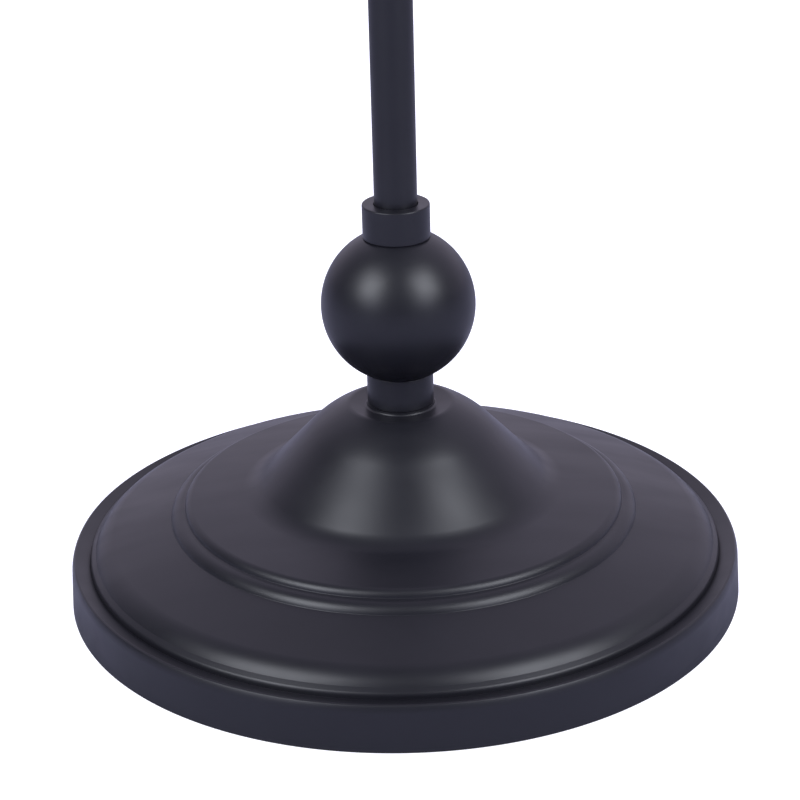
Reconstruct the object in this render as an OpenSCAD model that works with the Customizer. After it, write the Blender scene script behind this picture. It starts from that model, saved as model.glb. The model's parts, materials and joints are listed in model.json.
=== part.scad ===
// Pharmacy floor lamp: stepped round base, ball stem, telescoping pole, tilting arm, trough shade.
// The origin is the centre of the base on the floor, +Z is up, and the arm points along +X.

/* [Base] */
// Radius of the base at the floor
base_r = 130; // [126:1:134]
// Height of the drum rim
drum_h = 17.7; // [17:0.1:18.5]
// Height of the dome's crown, where the stem begins
crown_z = 76; // [75:0.5:78]
// Sheet thickness of the spun shell
shell_t = 1.2; // [0.8:0.1:1.6]
// Radius of the cast iron weight
weight_r = 114; // [100:1:116]
// Height of the cast iron weight
weight_h = 14; // [12:0.5:15]

/* [Stem] */
// Radius of the ball at its middle
ball_r = 29; // [26:0.5:32]
// Half the height that the ball would have without its flats
ball_rise = 29.5; // [26:0.5:32]
// Radius of the plain collars above and below the ball
collar_r = 12.6; // [11:0.1:14]
// Height of the neck under the ball
neck_h = 12.6; // [12:0.1:15]
// Height of the collar above the ball
collar_h = 13; // [12:0.5:16]

/* [Pole] */
// Outer radius of the lower and middle poles
pole_r = 8; // [7.5:0.1:8.5]
// Height where the two poles meet
joint_z = 560; // [500:10:600]
// Top of the clamp collar
clamp_top_z = 1015; // [1000:5:1018]
// Outer radius of the sliding upper tube
tube_r = 6.35; // [6:0.05:6.4]
// Length of the sliding upper tube
tube_len = 426; // [410:1:440]

/* [Head] */
// Height of the tilt pivot
head_z = 1268; // [1266:1:1270]
// Radius of the swivel ball
head_r = 17; // [16.5:0.1:18]
// Distance from the tilt pivot to the shade
arm_reach = 300; // [250:5:350]

/* [Shade] */
// Outer radius of the shade
shade_r = 48; // [44:1:56]
// Length of the shade
shade_len = 243; // [220:1:280]
// Sheet thickness of the shade
shade_t = 1; // [0.8:0.1:1.4]
// How far the shade's sides reach below its axis
skirt = 14; // [12:1:18]
// Radius of the tubular bulb
bulb_r = 15; // [13.5:0.5:19]

/* [Hidden] */
$fn = 96;
eps = 0.05;      // running clearance of a fit
cut = 1;         // how far a cutter runs past the face it opens
wire_r = 3.4;    // bore that the wiring passes through

// Base, from the floor up
foot_gap = 0.6;                       // the pad stands this far below the rim
pad_t = 2.5;
rod_r = 5;
rod_hole = rod_r + 0.1;
rod_low = 4;                          // lower end of the threaded rod
rod_grip = 18;                        // how far the rod reaches above the pole's foot
hub_r = 40;
hub_z = 30;
spacer_r = 9;
recess_r = 14;                        // recess under the weight, for the nut and washers
recess_z = 13;
washer_t = 1.5;
channel_w = 12;                       // channel for the cord, from the recess to the rim
gland_z = 8.4;
gland_r = 5;
gland_lip = 1.6;
foot_r = 14;                          // radius of the dome's concave foot
dome_r = 46;                          // radius of the dome's convex crown
dome_x = 2.4;                         // distance of that radius's centre from the axis
dome_slope = 47;                      // degrees, the dome's steepest stretch
knee_turn = 66;                       // degrees, where the dome bends over into its dished top
knee_r = 4;
dish_slope = 8;                       // degrees, the dish falls this much towards the boss
fillet_r = 0.9;
shoulder_x = base_r - 20.9;
boss_r = collar_r + 0.2;
plate_slope = 8;                      // degrees, the plate around the dome
dome_centre = [dome_x, crown_z - 43];
knee_centre = dome_centre + (dome_r - knee_r) * [cos(knee_turn), sin(knee_turn)];

// Stem, from the crown up
neck_top = crown_z + neck_h;
ball_edge = acos(collar_r / ball_r);  // degrees, where the ball meets its flats
ball_flat = ball_rise * sin(ball_edge);
ball_z = neck_top + ball_flat;
collar_z = ball_z + ball_flat;
collar_top = collar_z + collar_h;
pole_seat = collar_top - 9.5;         // the pole stands this deep in its collar

// Pole
pole_in = pole_r - 1.2;
plug_r = pole_in - eps;
plug_len = 20;
seam = 0.75;                          // half the width of the line between the poles
clamp_z = clamp_top_z - 40;
pole_top = clamp_top_z - 22;          // the middle pole ends here, under the bush
bush_r = pole_r + 0.4;
bush_in = tube_r + 0.07;
bush_lip = 1.2;
screw_z = clamp_top_z - 11;
screw_r = 3;
screw_len = 16;
boss_y = 16;                          // reach of the side boss that the screw runs in
clamp_knob_y = boss_y + 1.5;
knob_r = 10;
knob_h = 14;
knob_bore = 7.5;
pad_y = tube_r + 0.12;
pad_len = 2.4;

// Head
tube_in = tube_r - 1;
guide_h = 8;                          // nylon guide on the tube's lower end
spigot_h = 10;                        // and the part of it inside the tube
axle_r = 5;
axle_bore = 2.6;
axle_foot = 12;                       // length of the axle inside the tube
skirt_r = 11;
skirt_h = 20;
skirt_z = head_z - 32;                // underside of the turning head
hub_top = skirt_z - 1.2;
tube_top = hub_top - 8.8;
tube_z = tube_top - tube_len;
socket_d = 14;                        // depth of the socket that the tube sits in
bolt_r = 3;
bolt_end = 10;                        // how far the bolt reaches beyond the flat
washer_r = 8;
tilt_washer_t = 1.4;
tilt_knob_r = 11;
tilt_knob_h = 15;
cheek_y = 5.5;                        // half the width of the slot
tongue_y = 4.9;
tongue_r = 13;
face_y = 14.5;                        // flats on the ball, under the knob and the bolt head
tilt_down = 45;
tilt_up = 60;
groove_z = head_z - 24;               // the set screw and its groove
groove_h = 4;
groove_d = 1.1;
stop_w = 1.2;                         // the rib that ends the groove
set_r = 2;                            // set and grub screws
hex_r = 1;                            // and their hexagon sockets

// Arm
tube_x = 31;                          // where the arm tube starts in the knuckle
knuckle_x = 24.6;                     // where the knuckle widens beyond the swivel ball
knuckle_len = 24;
knuckle_r = 9.5;
grub_x = 41;
grub_reach = 9.2;                     // the screw heads end this far from the arm's axis
wire_x = 6.5;                         // the wiring goes round the pivot bolt
wire_bore = 2.5;
end_ball_r = 14;
end_ball_x = arm_reach - 18;
end_collar_x = end_ball_x - 20;
end_collar_r = 9.8;
end_face_r = 9.6;
end_bore = 8.5;
nip_nut_x = end_ball_x - 1;
nip_r = 4.9;                          // threaded nipple between the arm and the shade
nip_hole = nip_r + eps;
roll_washer_t = 1.15;

// Lamp socket and bulb, measured along the arm
back_round = 20;
socket_x = arm_reach + 6.5;
socket_r = 17.5;
socket_len = 60;
socket_t = 1.6;
core_x = socket_x + 28;
core_h = 6;
cap_x = core_x + 9;
cap_r = 12.9;
thread_step = 0.9;                    // a quarter of the thread's pitch
bulb_x = cap_x + 22;
bulb_len = 120;
bulb_t = 0.8;
switch_x = socket_x + 20;
switch_top = head_z + shade_r;
stem_r = 2;
bushing_r = 4;

// ---- Colours ----

module black() color([0.14, 0.14, 0.16]) children();
module steel() color([0.70, 0.71, 0.73]) children();
module iron() color([0.30, 0.30, 0.31]) children();
module brass() color([0.80, 0.66, 0.36]) children();
module nylon() color([0.88, 0.87, 0.82]) children();
module fibre() color([0.55, 0.25, 0.18]) children();
module phenolic() color([0.12, 0.10, 0.09]) children();

// ---- Shared shapes ----

function arc(centre, r, from, to, n = 8) =
    [for (i = [0:n]) let (a = from + (to - from) * i / n) centre + r * [cos(a), sin(a)]];

function unit(v) = v / norm(v);
function left_of(v) = [-v[1], v[0]];

// One point of the line that runs t to the left of an outline, with mitred corners
function inset_point(p, i, t) =
    let (last = len(p) - 1,
         before = left_of(unit(p[max(i, 1)] - p[max(i, 1) - 1])),
         after = left_of(unit(p[min(i, last - 1) + 1] - p[min(i, last - 1)])))
    p[i] + t * (before + after) / (1 + before * after);

// An outline and its inner side, as one closed sheet that stays on one side of the axis
function sheet(p, t) = concat(p,
    [for (i = [len(p) - 1:-1:0]) let (q = inset_point(p, i, t)) [max(q[0], 0), q[1]]]);

module ring(r, hole, h, z = 0) {
    translate([0, 0, z]) difference() {
        cylinder(r = r, h = h);
        translate([0, 0, -cut]) cylinder(r = hole, h = h + 2 * cut);
    }
}

// A ring with both outer edges chamfered by c
module soft_ring(r, hole, h, z = 0, c = 0.5) {
    translate([0, 0, z]) rotate_extrude()
        polygon([[hole, 0], [r - c, 0], [r, c], [r, h - c], [r - c, h], [hole, h]]);
}

module hex_nut(across, hole, h, z = 0) {
    translate([0, 0, z]) difference() {
        cylinder(r = across / 2 / cos(30), h = h, $fn = 6);
        translate([0, 0, -cut]) cylinder(r = hole, h = h + 2 * cut);
    }
}

// Turns a shape that is built along Z so that it lies along +X, -Y or +Y
module along_x(x = 0, z = head_z) translate([x, 0, z]) rotate([0, 90, 0]) children();
module along_minus_y(y = 0, z = head_z) translate([0, -y, z]) rotate([90, 0, 0]) children();
module along_plus_y(y = 0, z = head_z) translate([0, y, z]) rotate([-90, 0, 0]) children();

// Fluted knob of radius r and length h with a blind bore from its lower face
module fluted_knob(r, h, bore, depth, flutes = 12) {
    flute_r = r * 0.16;
    difference() {
        rotate_extrude() polygon(concat(
            [[0, 0], [r * 0.62, 0], [r * 0.62, h * 0.12], [r - 1, h * 0.2]],
            arc([r - 1, h * 0.2 + 1], 1, -60, 0, 3),
            arc([r - 2, h - 2], 2, 0, 90, 4),
            [[0, h]]));
        for (i = [0:flutes - 1]) rotate([0, 0, i * 360 / flutes])
            translate([r + flute_r * 0.45, 0, h * 0.2 - cut]) cylinder(r = flute_r, h = h + 2 * cut);
        translate([0, 0, -cut]) cylinder(r = bore, h = depth + cut);
    }
}

// ---- Base ----

function base_outline() = concat(
    [[base_r, foot_gap], [base_r - 1.1, drum_h - 2]],
    arc([base_r - 3.1, drum_h - 2], 2, 6, 90, 5),
    [[base_r - 3.6, drum_h]],
    [[base_r - 8.1, drum_h - 1.5]],
    arc([shoulder_x, drum_h - 4.2], 12.7, 14, 74, 7),
    arc([85.2, 30.6], 5, 16, 90, 5),
    arc([81.1, 35.3], 3.4, 8, 90 - plate_slope, 4),
    arc([64, 55.2], foot_r, 270 - plate_slope, 270 - dome_slope, 5),
    arc(dome_centre, dome_r, 90 - dome_slope, knee_turn, 6),
    arc(knee_centre, knee_r, knee_turn + 8, 90 + dish_slope, 3),
    arc([boss_r + fillet_r, crown_z - 0.5], fillet_r, 270 - dish_slope, 180, 3),
    [[boss_r, crown_z], [rod_hole, crown_z]]);

module base_shell() black() difference() {
    rotate_extrude($fn = 180) polygon(sheet(base_outline(), shell_t));
    along_minus_y(-base_r - cut, gland_z) cylinder(r = gland_r + 0.1, h = gland_r + 2 * cut);
}

module base_weight() iron() difference() {
    union() {
        translate([0, 0, pad_t]) cylinder(r = weight_r, h = weight_h);
        translate([0, 0, pad_t]) cylinder(r = hub_r, h = hub_z - pad_t);
    }
    translate([0, 0, -cut]) cylinder(r = rod_hole, h = hub_z + 2 * cut);
    translate([0, 0, pad_t - cut]) cylinder(r = recess_r, h = recess_z - pad_t + cut);
    translate([-channel_w / 2, 0, pad_t - cut])
        cube([channel_w, weight_r + cut, recess_z - pad_t + cut]);
}

module base_pad() color([0.10, 0.10, 0.11]) cylinder(r = base_r - 4, h = pad_t);

module base_spacer() steel() ring(spacer_r, rod_hole, crown_z - shell_t - hub_z, hub_z);

module centre_rod() steel() ring(rod_r, wire_r, pole_seat + rod_grip, rod_low);

module rod_washer() steel() ring(12, rod_hole, washer_t, recess_z - washer_t);
module rod_lock_washer() steel() ring(8.6, rod_hole, washer_t, recess_z - 2 * washer_t);
module rod_nut() steel() hex_nut(15, rod_hole, 5, recess_z - 2 * washer_t - 5);

// Grooved grommet that grips the edge of its hole in the rim
module cord_gland() color([0.07, 0.07, 0.07]) along_minus_y(-base_r - gland_lip, gland_z) {
    lip = gland_r + gland_lip;
    barb = gland_r + 0.6;
    length = 6;
    groove = 3;
    rotate_extrude() polygon([[wire_r, 0], [barb + 0.4, 0], [lip, 0.6], [lip, gland_lip],
        [gland_r, gland_lip], [gland_r, gland_lip + groove], [barb, gland_lip + groove],
        [barb, length], [wire_r, length]]);
}

// ---- Stem ----

module neck_spacer() black() soft_ring(collar_r, rod_hole, neck_h, crown_z, 0.3);

module ball() black() {
    steps = 28;
    side = [for (i = [0:steps]) let (a = ball_edge * (2 * i / steps - 1))
        [ball_r * cos(a), ball_rise * sin(a)]];
    translate([0, 0, ball_z]) rotate_extrude()
        polygon(concat([[rod_hole, -ball_flat]], side, [[rod_hole, ball_flat]]));
}

module pole_collar() black() difference() {
    soft_ring(collar_r, rod_hole, collar_h, collar_z);
    translate([0, 0, pole_seat]) cylinder(r = pole_r + eps, h = collar_h);
}

// ---- Pole ----

module pole_foot_plug() brass() ring(plug_r, rod_hole, plug_len, pole_seat);

module lower_pole() black() ring(pole_r, pole_in, joint_z - seam - pole_seat, pole_seat);

module pole_coupler() steel() translate([0, 0, joint_z]) rotate_extrude()
    polygon([[wire_r, -plug_len], [plug_r, -plug_len], [plug_r, -seam], [pole_r, -seam],
        [pole_r, seam], [plug_r, seam], [plug_r, plug_len], [wire_r, plug_len]]);

module middle_pole() black() ring(pole_r, pole_in, pole_top - joint_z - seam, joint_z + seam);

module clamp_collar() black() difference() {
    union() {
        soft_ring(collar_r, pole_r + eps, clamp_top_z - clamp_z, clamp_z, 0.8);
        along_minus_y(pole_r + 1, screw_z) cylinder(r = 2 * screw_r, h = boss_y - pole_r - 1);
    }
    translate([0, 0, pole_top]) cylinder(r = bush_r + eps, h = clamp_top_z - pole_top + cut);
    along_minus_y(0, screw_z) cylinder(r = screw_r + eps, h = boss_y + cut);
}

module collar_bush() nylon() difference() {
    union() {
        ring(bush_r, bush_in, clamp_top_z - pole_top, pole_top);
        ring(bush_r + 1.4, bush_in, bush_lip, clamp_top_z);
    }
    along_minus_y(0, screw_z) cylinder(r = screw_r + eps, h = bush_r + cut);
}

// ---- Height clamp ----

module clamp_pad() nylon() along_minus_y(pad_y, screw_z)
    cylinder(r = screw_r - 0.1, h = pad_len);

module clamp_screw() brass() along_minus_y(pad_y + pad_len + eps, screw_z)
    cylinder(r = screw_r, h = screw_len);

module clamp_knob() black() along_minus_y(clamp_knob_y, screw_z)
    fluted_knob(knob_r, knob_h, screw_r + eps, knob_bore);

// ---- Sliding mast ----

module upper_tube() black() ring(tube_r, tube_in, tube_len, tube_z);

module tube_guide() nylon() {
    ring(plug_r, wire_r, guide_h, tube_z - guide_h);
    ring(tube_in - 0.02, wire_r, spigot_h, tube_z);
}

module swivel_base() black()
    soft_ring(skirt_r, tube_r + eps, hub_top - tube_top + socket_d, tube_top - socket_d, 0.8);

module swivel_axle() steel() difference() {
    union() {
        ring(tube_in - 0.02, axle_bore, axle_foot, tube_top - axle_foot);
        ring(tube_r + 0.02, axle_bore, hub_top - tube_top, tube_top);
        ring(axle_r, axle_bore, groove_z + 6 - hub_top, hub_top);
    }
    // The locating groove stops short of a full turn, which is what limits the swivel
    difference() {
        ring(axle_r + cut, axle_r - groove_d, groove_h, groove_z - groove_h / 2);
        translate([0, -stop_w / 2, groove_z - groove_h / 2 - cut])
            cube([axle_r + 2 * cut, stop_w, groove_h + 2 * cut]);
    }
}

module swivel_washer() fibre() ring(skirt_r - 0.5, axle_r + 0.1, skirt_z - hub_top - 0.02, hub_top);

// ---- Turning head ----

// The slot that the arm's tongue tilts in, seen from the knob side
module slot_shape() {
    half = tongue_y + 0.5;
    far = 2 * head_r;
    low = [cos(-tilt_down), sin(-tilt_down)];
    high = [cos(tilt_up), sin(tilt_up)];
    circle(r = tongue_r + 0.4);
    polygon([half * [low[1], -low[0]], half * [low[1], -low[0]] + far * low, [1.5 * far, 0],
        half * [-high[1], high[0]] + far * high, half * [-high[1], high[0]]]);
}

module swivel_head() black() difference() {
    union() {
        translate([0, 0, head_z]) sphere(r = head_r);
        soft_ring(skirt_r, axle_r + eps, skirt_h, skirt_z, 0.8);
    }
    translate([0, 0, skirt_z - cut]) cylinder(r = axle_r + eps, h = groove_z + 7 + cut - skirt_z);
    translate([0, 0, skirt_z]) cylinder(r = wire_r, h = head_z - skirt_z);
    translate([0, cheek_y, head_z]) rotate([90, 0, 0]) linear_extrude(2 * cheek_y) slot_shape();
    along_minus_y(-head_r - cut) cylinder(r = bolt_r + eps, h = 2 * head_r + 2 * cut);
    for (side = [-1, 1])
        translate([-head_r, side * (face_y + head_r) - head_r, head_z - head_r]) cube(2 * head_r);
    along_x(-skirt_r - cut, groove_z) cylinder(r = set_r + eps, h = skirt_r);
}

// Set screw with a dog point that runs in the axle's groove
module swivel_set_screw() steel() along_x(-skirt_r + 0.6, groove_z) difference() {
    rotate_extrude() polygon([[0, 0], [set_r, 0], [set_r, 4.8], [1.4, 5.2], [1.4, 6.2], [0, 6.2]]);
    translate([0, 0, -cut]) cylinder(r = hex_r, h = 1.6 + cut, $fn = 6);
}

module pivot_bolt() steel() {
    along_plus_y(face_y) rotate_extrude()
        polygon([[0, 0], [7, 0], [7, 1.6], [5.4, 3.4], [3, 4.4], [0, 4.8]]);
    along_minus_y(-face_y) cylinder(r = bolt_r, h = 2 * face_y + bolt_end);
}

module tilt_washer() steel() along_minus_y(face_y + eps)
    ring(washer_r, bolt_r + 0.1, tilt_washer_t);

module tilt_knob() black() along_minus_y(face_y + 2 * eps + tilt_washer_t)
    fluted_knob(tilt_knob_r, tilt_knob_h, bolt_r + eps, 11);

// ---- Arm ----

module tilt_friction_washers() fibre() for (y = [tongue_y, -tongue_y - 0.5])
    along_plus_y(y) ring(tongue_r - 1, bolt_r + 0.1, 0.5);

module arm_knuckle() black() difference() {
    union() {
        along_minus_y(-tongue_y) cylinder(r = tongue_r, h = 2 * tongue_y);
        along_x(tongue_r - 5) cylinder(r = tongue_y - 0.05, h = knuckle_x);
        along_x(knuckle_x) rotate_extrude() polygon([[0, 0], [knuckle_r - 2.5, 0],
            [knuckle_r, 2.5], [knuckle_r, knuckle_len - 1], [knuckle_r - 0.9, knuckle_len],
            [0, knuckle_len]]);
    }
    along_minus_y(-tongue_y - cut) cylinder(r = bolt_r + eps, h = 2 * tongue_y + 2 * cut);
    along_x(wire_x) cylinder(r = wire_bore, h = tube_x - wire_x + cut);
    translate([wire_x, 0, head_z - tongue_r - cut]) cylinder(r = wire_bore, h = tongue_r + cut);
    along_x(tube_x) cylinder(r = tube_r + eps, h = knuckle_len);
    translate([grub_x, 0, head_z - knuckle_r - cut]) cylinder(r = set_r + eps, h = knuckle_r);
}

module arm_tube() black() along_x(tube_x) ring(tube_r, tube_in, end_ball_x - 6 - tube_x);

module arm_grub_screws() steel() for (x = [grub_x, end_collar_x + 3])
    translate([x, 0, head_z - grub_reach]) difference() {
        cylinder(r = set_r, h = grub_reach - tube_r - eps);
        translate([0, 0, -cut]) cylinder(r = hex_r, h = 1.5 + cut, $fn = 6);
    }

module arm_end_collar() black() difference() {
    along_x(end_collar_x) rotate_extrude() polygon([[tube_r + eps, 0], [end_collar_r - 0.9, 0],
        [end_collar_r, 0.9], [end_collar_r, 6], [end_bore, 6], [end_bore, 14], [tube_r + eps, 14]]);
    translate([end_collar_x + 3, 0, head_z - end_collar_r - cut])
        cylinder(r = set_r + eps, h = end_collar_r);
}

module arm_end_ball() black() {
    start = end_collar_x + 6.1;
    end = arm_reach - 1.2;
    open = asin(end_face_r / end_ball_r);
    inside = end_ball_x + 4;
    along_x() rotate_extrude() polygon(concat(
        [[end_bore + eps, start], [end_face_r, start]],
        arc([0, end_ball_x], end_ball_r, open - 90, 90 - open, 16),
        [[end_face_r, end - 0.5], [end_face_r - 0.5, end], [nip_r + 0.1, end],
            [nip_r + 0.1, inside], [end_bore + eps, inside]]));
}

// ---- Shade joint ----

module shade_nipple() brass() along_x(nip_nut_x - 3) ring(nip_r, wire_r, socket_x - nip_nut_x + 6);
module nipple_nut() brass() along_x(nip_nut_x) hex_nut(14, nip_hole, 4);
module nipple_washer() steel() along_x(nip_nut_x + 4) ring(8.2, nip_hole, 0.95);
module roll_washer() fibre() along_x(arm_reach - roll_washer_t) ring(9.4, nip_hole, roll_washer_t);
module shade_locknut() brass() along_x(arm_reach + shade_t) hex_nut(17, nip_hole, 3.5);

// ---- Shade ----

function shade_outline() = concat(
    [[0, shade_len]],
    arc([0, shade_len - shade_r], shade_r, 84, 0, 12),
    arc([shade_r - back_round, back_round + 2], back_round, 0, -84, 8),
    [[14, 0], [nip_hole, 0]]);

module shade() black() difference() {
    along_x(arm_reach) rotate_extrude($fn = 144) polygon(sheet(shade_outline(), -shade_t));
    translate([arm_reach - cut, -shade_r - cut, head_z - skirt - shade_r])
        cube([shade_len + 2 * cut, 2 * shade_r + 2 * cut, shade_r]);
    translate([switch_x, 0, head_z]) cylinder(r = bushing_r + 0.1, h = shade_r + cut);
}

// ---- Socket and bulb ----

module socket_shell() phenolic() difference() {
    along_x(socket_x) rotate_extrude() polygon([[nip_hole, 0], [12, 0], [socket_r, 5],
        [socket_r, socket_len], [socket_r - socket_t, socket_len], [socket_r - socket_t, 7],
        [12, 3], [nip_hole, 3]]);
    translate([switch_x, 0, head_z]) cylinder(r = stem_r + 0.2, h = 2 * socket_r);
}

module socket_core() color([0.92, 0.91, 0.88]) along_x(core_x) difference() {
    cylinder(r = socket_r - socket_t - 0.1, h = core_h);
    for (side = [-1, 1]) translate([0, side * 9, -cut]) cylinder(r = 1.8, h = core_h + 2 * cut);
}

module screw_shell() brass() along_x(core_x + core_h) rotate_extrude()
    polygon([[8, 0], [14.4, 0], [14.4, 24], [13.9, 24], [13.9, 0.5], [8, 0.5]]);

module centre_contact() brass() translate([core_x + core_h, -3, head_z - 3]) cube([2, 6, 6]);

module bulb_cap() color([0.78, 0.78, 0.80]) along_x(cap_x + 1.2) rotate_extrude()
    polygon(concat([[5, 0], [8, 0], [12, 3]],
        [for (i = [0:20]) [cap_r + 0.4 * sin(i * 90), 3 + i * thread_step]],
        [[cap_r, 22], [12, 22], [11.9, 4], [5, 1]]));

module bulb_contact() brass() along_x(cap_x - 0.9) cylinder(r = 4.8, h = 2);

module bulb_glass() color([0.96, 0.95, 0.90]) along_x(bulb_x) rotate_extrude()
    polygon(sheet(concat([[11.6, -4], [11.6, 2]],
        arc([bulb_r - 8, 11], 8, -30, 0, 3),
        arc([0, bulb_len - bulb_r], bulb_r, 0, 90, 10)), bulb_t));

// ---- Switch ----

module switch_body() phenolic() difference() {
    along_x(switch_x - 7) cylinder(r = socket_r - 2, h = 14);
    translate([switch_x, 0, head_z + 11.5]) cylinder(r = stem_r + eps, h = socket_r);
}

module switch_bushing() brass() translate([switch_x, 0, switch_top - 9]) rotate_extrude()
    polygon([[stem_r + 0.1, 0], [6, 0], [6, 7], [bushing_r, 7], [bushing_r, 13],
        [stem_r + 0.1, 13]]);

module switch_nut() brass() translate([switch_x, 0, 0]) 
    hex_nut(10, bushing_r + eps, 2, switch_top + 0.4);

module switch_stem() brass() translate([switch_x, 0, head_z + 12])
    cylinder(r = stem_r, h = shade_r);

module switch_knob() black() translate([switch_x, 0, switch_top + 4.6])
    fluted_knob(7, 11, stem_r + eps, knob_bore, 10);

// ---- Assembly ----

base_shell();
base_weight();
base_pad();
base_spacer();
centre_rod();
rod_washer();
rod_lock_washer();
rod_nut();
cord_gland();
neck_spacer();
ball();
pole_collar();
pole_foot_plug();
lower_pole();
pole_coupler();
middle_pole();
clamp_collar();
collar_bush();
clamp_pad();
clamp_screw();
clamp_knob();
upper_tube();
tube_guide();
swivel_base();
swivel_axle();
swivel_washer();
swivel_head();
swivel_set_screw();
pivot_bolt();
tilt_washer();
tilt_knob();
tilt_friction_washers();
arm_knuckle();
arm_tube();
arm_grub_screws();
arm_end_collar();
arm_end_ball();
shade_nipple();
nipple_nut();
nipple_washer();
roll_washer();
shade();
shade_locknut();
socket_shell();
socket_core();
screw_shell();
centre_contact();
bulb_cap();
bulb_glass();
bulb_contact();
switch_body();
switch_bushing();
switch_nut();
switch_stem();
switch_knob();
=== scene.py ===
# Pharmacy floor lamp: satin black stepped base, ball stem, sliding pole, tilting arm and
# trough shade.
# The visible pieces are turned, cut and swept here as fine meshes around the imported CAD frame.
# Outlines are in millimetres, and places come from the frame.

import json
import math

import bmesh
import bpy
from mathutils import Matrix, Vector


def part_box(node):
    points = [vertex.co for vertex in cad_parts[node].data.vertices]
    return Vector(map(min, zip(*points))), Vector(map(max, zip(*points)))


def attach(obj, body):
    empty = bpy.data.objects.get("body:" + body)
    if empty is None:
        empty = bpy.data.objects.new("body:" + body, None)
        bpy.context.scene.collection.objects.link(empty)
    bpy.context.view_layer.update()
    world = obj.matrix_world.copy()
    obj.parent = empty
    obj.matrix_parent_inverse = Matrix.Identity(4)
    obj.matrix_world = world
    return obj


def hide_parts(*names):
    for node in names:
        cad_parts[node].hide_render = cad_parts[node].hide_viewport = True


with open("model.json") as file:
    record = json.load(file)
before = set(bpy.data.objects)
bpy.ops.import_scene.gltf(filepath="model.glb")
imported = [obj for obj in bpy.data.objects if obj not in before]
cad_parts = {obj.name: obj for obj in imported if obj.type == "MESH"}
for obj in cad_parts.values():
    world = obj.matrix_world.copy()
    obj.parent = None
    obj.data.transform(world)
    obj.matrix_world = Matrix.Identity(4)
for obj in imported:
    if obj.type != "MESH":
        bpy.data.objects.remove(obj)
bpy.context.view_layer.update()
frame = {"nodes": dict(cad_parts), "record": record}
record = frame["record"]

MM = 0.001
BODY = {node: body for body, nodes in record["behaviour"]["bodies"].items() for node in nodes}
SLOT = {row["node"]: row["material_slot"] for row in record["subparts"]}

# ---- Places and sizes taken from the frame ----


def low(node, axis):
    """Lowest coordinate of a CAD node along an axis."""
    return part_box(node)[0]["xyz".index(axis)] / MM


def high(node, axis):
    """Highest coordinate of a CAD node along an axis."""
    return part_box(node)[1]["xyz".index(axis)] / MM


def middle(node, axis):
    """Middle of a CAD node along an axis."""
    return (low(node, axis) + high(node, axis)) / 2


def reach(node, along):
    """Where a CAD node starts and ends along one of the turning axes."""
    if along == "-y":
        return -high(node, "y"), -low(node, "y")
    return low(node, along), high(node, along)


base_r = high("base_shell", "x")
rim_z = low("base_shell", "z")
crown_z = high("base_shell", "z")
collar_r = high("neck_spacer", "x")
ball_r = high("ball", "x")
ball_z = middle("ball", "z")
pole_r = high("lower_pole", "x")
tube_r = high("upper_tube", "x")
head_z = middle("arm_tube", "z")
head_r = -low("swivel_head", "x")
arm_reach = low("shade", "x")
shade_len = high("shade", "x") - arm_reach
shade_r = high("shade", "y")
rim_drop = head_z - low("shade", "z")
screw_z = middle("clamp_screw", "z")
switch_x = middle("switch_knob", "x")

# Sizes that several pieces share, with the gap between two that fit together
rod_hole = 5.1
nipple_hole = 4.95
axle_r = 5
screw_r = 3
grub_r = 2
bushing_r = 4
stem_r = 2
bush_r = pole_r + 0.4
skirt_r = 11
tongue_r = 13
pole_wall = 1.2
tube_wall = 1
gap = 0.05

POLE = (0, 0, 0)
PIVOT = (0, 0, head_z)
CLAMP = (0, 0, screw_z)
SWITCH = (switch_x, 0, 0)

# ---- Outlines ----


def polar(centre, radius, turn):
    """Point at a distance and an angle in degrees from a centre."""
    angle = math.radians(turn)
    return centre[0] + radius * math.cos(angle), centre[1] + radius * math.sin(angle)


def arc(centre, radius, start, end, steps):
    """Points of a round stretch from angle start to angle end, in degrees."""
    return [polar(centre, radius, start + (end - start) * i / steps) for i in range(steps + 1)]


def soften(points, radius, closed=False, sharpest=14, steps=4):
    """The outline with every corner sharper than a few degrees rounded to about the radius."""
    points = [p for i, p in enumerate(points) if math.dist(p, points[i - 1]) > 1e-4]
    made = []
    count = len(points)
    for i, point in enumerate(points):
        corner = Vector(point)
        before = Vector(points[i - 1]) - corner
        after = Vector(points[(i + 1) % count]) - corner
        end = not closed and i in (0, count - 1)
        turn = 0 if end else math.degrees(math.pi - before.angle(after))
        if turn < sharpest:
            made.append((corner.x, corner.y))
            continue
        cut = radius * math.tan(math.radians(turn) / 2)
        first = corner + before.normalized() * min(cut, before.length * 0.45)
        last = corner + after.normalized() * min(cut, after.length * 0.45)
        for step in range(steps + 1):
            t = step / steps
            p = first * (1 - t) ** 2 + corner * 2 * t * (1 - t) + last * t * t
            made.append((p.x, p.y))
    return made


def inner_side(points, thickness):
    """The outline's points moved to its left by the sheet's thickness, in reverse order."""
    made = []
    last = len(points) - 1
    for i, point in enumerate(points):
        first, second = max(i, 1), min(i, last - 1)
        before = (Vector(points[first]) - Vector(points[first - 1])).normalized()
        after = (Vector(points[second + 1]) - Vector(points[second])).normalized()
        left = Vector((-before.y - after.y, before.x + after.x)) / (1 + before.dot(after))
        moved = Vector(point) + left * thickness
        made.append((max(moved.x, 0), moved.y))
    return made[::-1]


# ---- Waves that reshape a turned piece round its axis ----


def flutes(radius, count):
    """Round flutes down the side of a knob, with their ridges eased."""
    flute_r = radius * 0.16
    flute_at = radius + flute_r * 0.45
    ease = 0.5

    def wave(r, height, turn):
        off = (turn + math.pi / count) % (2 * math.pi / count) - math.pi / count
        across = flute_at * math.sin(off)
        if abs(across) >= flute_r:
            return r
        side = flute_at * math.cos(off) - math.sqrt(flute_r**2 - across**2)
        blend = max(ease - abs(r - side), 0) / ease
        return min(r, side) - blend**2 * ease / 4

    return wave


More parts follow.
